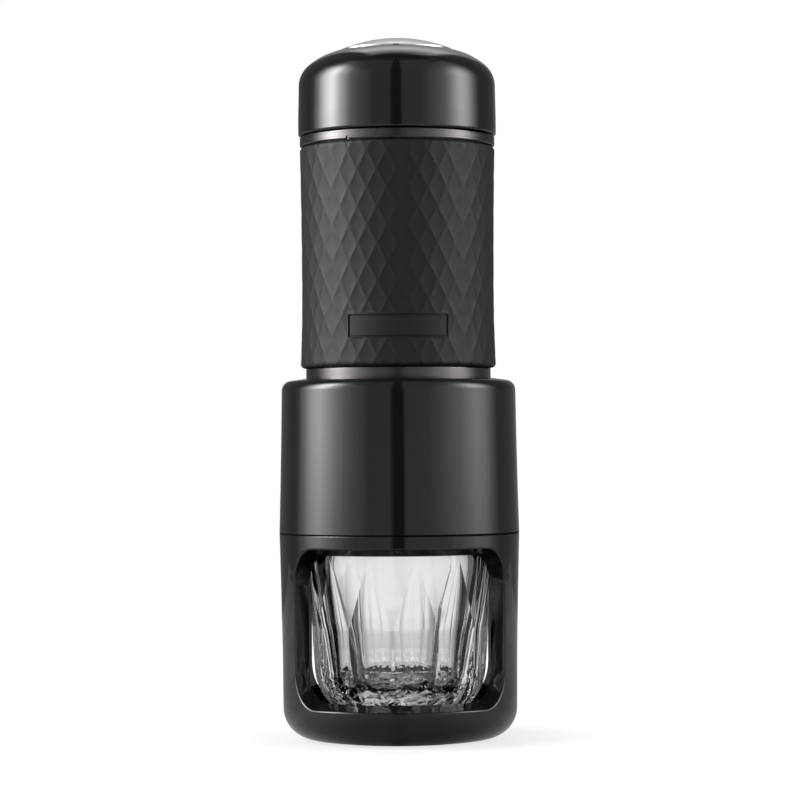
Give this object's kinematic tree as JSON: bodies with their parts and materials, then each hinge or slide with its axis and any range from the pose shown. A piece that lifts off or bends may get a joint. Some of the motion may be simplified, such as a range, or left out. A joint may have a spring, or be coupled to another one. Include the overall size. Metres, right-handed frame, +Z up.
{
  "type": "handheld manual espresso maker",
  "caption": "Handheld espresso maker for camping: domed palm pump on a gripped water tank, over a brew head, with a windowed cup holder and a glass cup stored inside.",
  "frame": {"origin": "middle of the underside, where the foot pad stands on the table", "axes": "+Z up through the pump handle, -Y towards the front window and the plaque, +X to the right seen from the front"},
  "size_m": [0.0778, 0.0778, 0.2275],
  "materials": {
    "holder_black": "high gloss",
    "shell_black": "high gloss",
    "cap_black": "high gloss",
    "holder_plastic": "satin moulded",
    "inner_plastic": "fine moulded grain",
    "valve_plastic": "fine moulded grain",
    "bush_plastic": "smooth",
    "sleeve_silicone": "soft matte",
    "pad_rubber": "matte",
    "seal_rubber": "satin",
    "smoked_metal": "smoked, brushed round",
    "dome_chrome": "mirror polish",
    "cup_glass": "clear, faceted",
    "tank_clear": "clear smoked",
    "cylinder_metal": "honed",
    "perforated_steel": "fine brushed",
    "screw_steel": "bright zinc",
    "rod_steel": "ground and polished",
    "ball_steel": "polished",
    "spring_steel": "drawn wire"
  },
  "bodies": {
    "cup_holder": {"base_frame": "holder_black", "foot_pad": "pad_rubber", "cup_pad": "pad_rubber"},
    "cup": {"glass_cup": "cup_glass"},
    "main_body": {"outer_shell": "shell_black", "brew_head": "inner_plastic", "lock_ring": "holder_plastic", "shell_screws": "screw_steel", "shower_screen": "perforated_steel", "screen_screw": "screw_steel", "group_gasket": "seal_rubber"},
    "basket_holder": {"portafilter": "holder_plastic"},
    "basket": {"filter_basket": "perforated_steel"},
    "tank": {"water_tank": "tank_clear", "tank_gasket": "seal_rubber", "neck_ring": "smoked_metal", "grip_sleeve": "sleeve_silicone"},
    "pump": {"pump_head": "inner_plastic", "collar_ring": "smoked_metal", "pump_cylinder": "cylinder_metal", "rod_guide": "bush_plastic", "wiper_seal": "seal_rubber", "pump_head_gasket": "seal_rubber", "foot_valve_body": "valve_plastic", "foot_o_rings": "seal_rubber", "return_spring": "spring_steel", "outlet_valve_spring": "spring_steel"},
    "plunger": {"piston_rod": "rod_steel", "piston_head": "valve_plastic", "piston_seal": "seal_rubber", "rod_nut": "screw_steel"},
    "handle": {"handle_core": "inner_plastic", "handle_cap": "cap_black", "dome_badge": "dome_chrome"},
    "inlet_ball": {"inlet_valve_ball": "ball_steel"},
    "outlet_ball": {"outlet_valve_ball": "ball_steel"}
  },
  "joints": [
    {"name": "upper_body_lift", "type": "slide", "parent": "cup_holder", "child": "main_body", "axis": [0, 0, 1], "range_m": [0, 0.15]},
    {"name": "cup_lift", "type": "slide", "parent": "cup_holder", "child": "cup", "axis": [0, 0, 1], "range_m": [0, 0.07]},
    {"name": "basket_holder_drop", "type": "slide", "parent": "main_body", "child": "basket_holder", "axis": [0, 0, -1], "range_m": [0, 0.045]},
    {"name": "basket_lift", "type": "slide", "parent": "basket_holder", "child": "basket", "axis": [0, 0, 1], "range_m": [0, 0.018]},
    {"name": "tank_lift", "type": "slide", "parent": "main_body", "child": "tank", "axis": [0, 0, 1], "range_m": [0, 0.03]},
    {"name": "pump_lift", "type": "slide", "parent": "tank", "child": "pump", "axis": [0, 0, 1], "range_m": [0, 0.1]},
    {"name": "pump_stroke", "type": "slide", "parent": "pump", "child": "plunger", "axis": [0, 0, 1], "range_m": [0, 0.028], "deforming": ["return_spring"]},
    {"name": "handle_twist", "type": "hinge", "parent": "plunger", "child": "handle", "pos_m": [0, 0, 0.2], "axis": [0, 0, 1], "range_deg": [0, 36]},
    {"name": "inlet_valve", "type": "slide", "parent": "pump", "child": "inlet_ball", "axis": [0, 0, 1], "range_m": [0, 0.0015]},
    {"name": "outlet_valve", "type": "slide", "parent": "pump", "child": "outlet_ball", "axis": [0, 0, -1], "range_m": [0, 0.0015], "stiffness_N_per_m": 20, "springref_m": -0.001, "deforming": ["outlet_valve_spring"]}
  ],
  "couplings": [
    {"joint": "cup_lift", "follows": "upper_body_lift", "ratio": 0.45},
    {"joint": "basket_holder_drop", "follows": "upper_body_lift", "ratio": 0.3},
    {"joint": "basket_lift", "follows": "upper_body_lift", "ratio": 0.12}
  ]
}
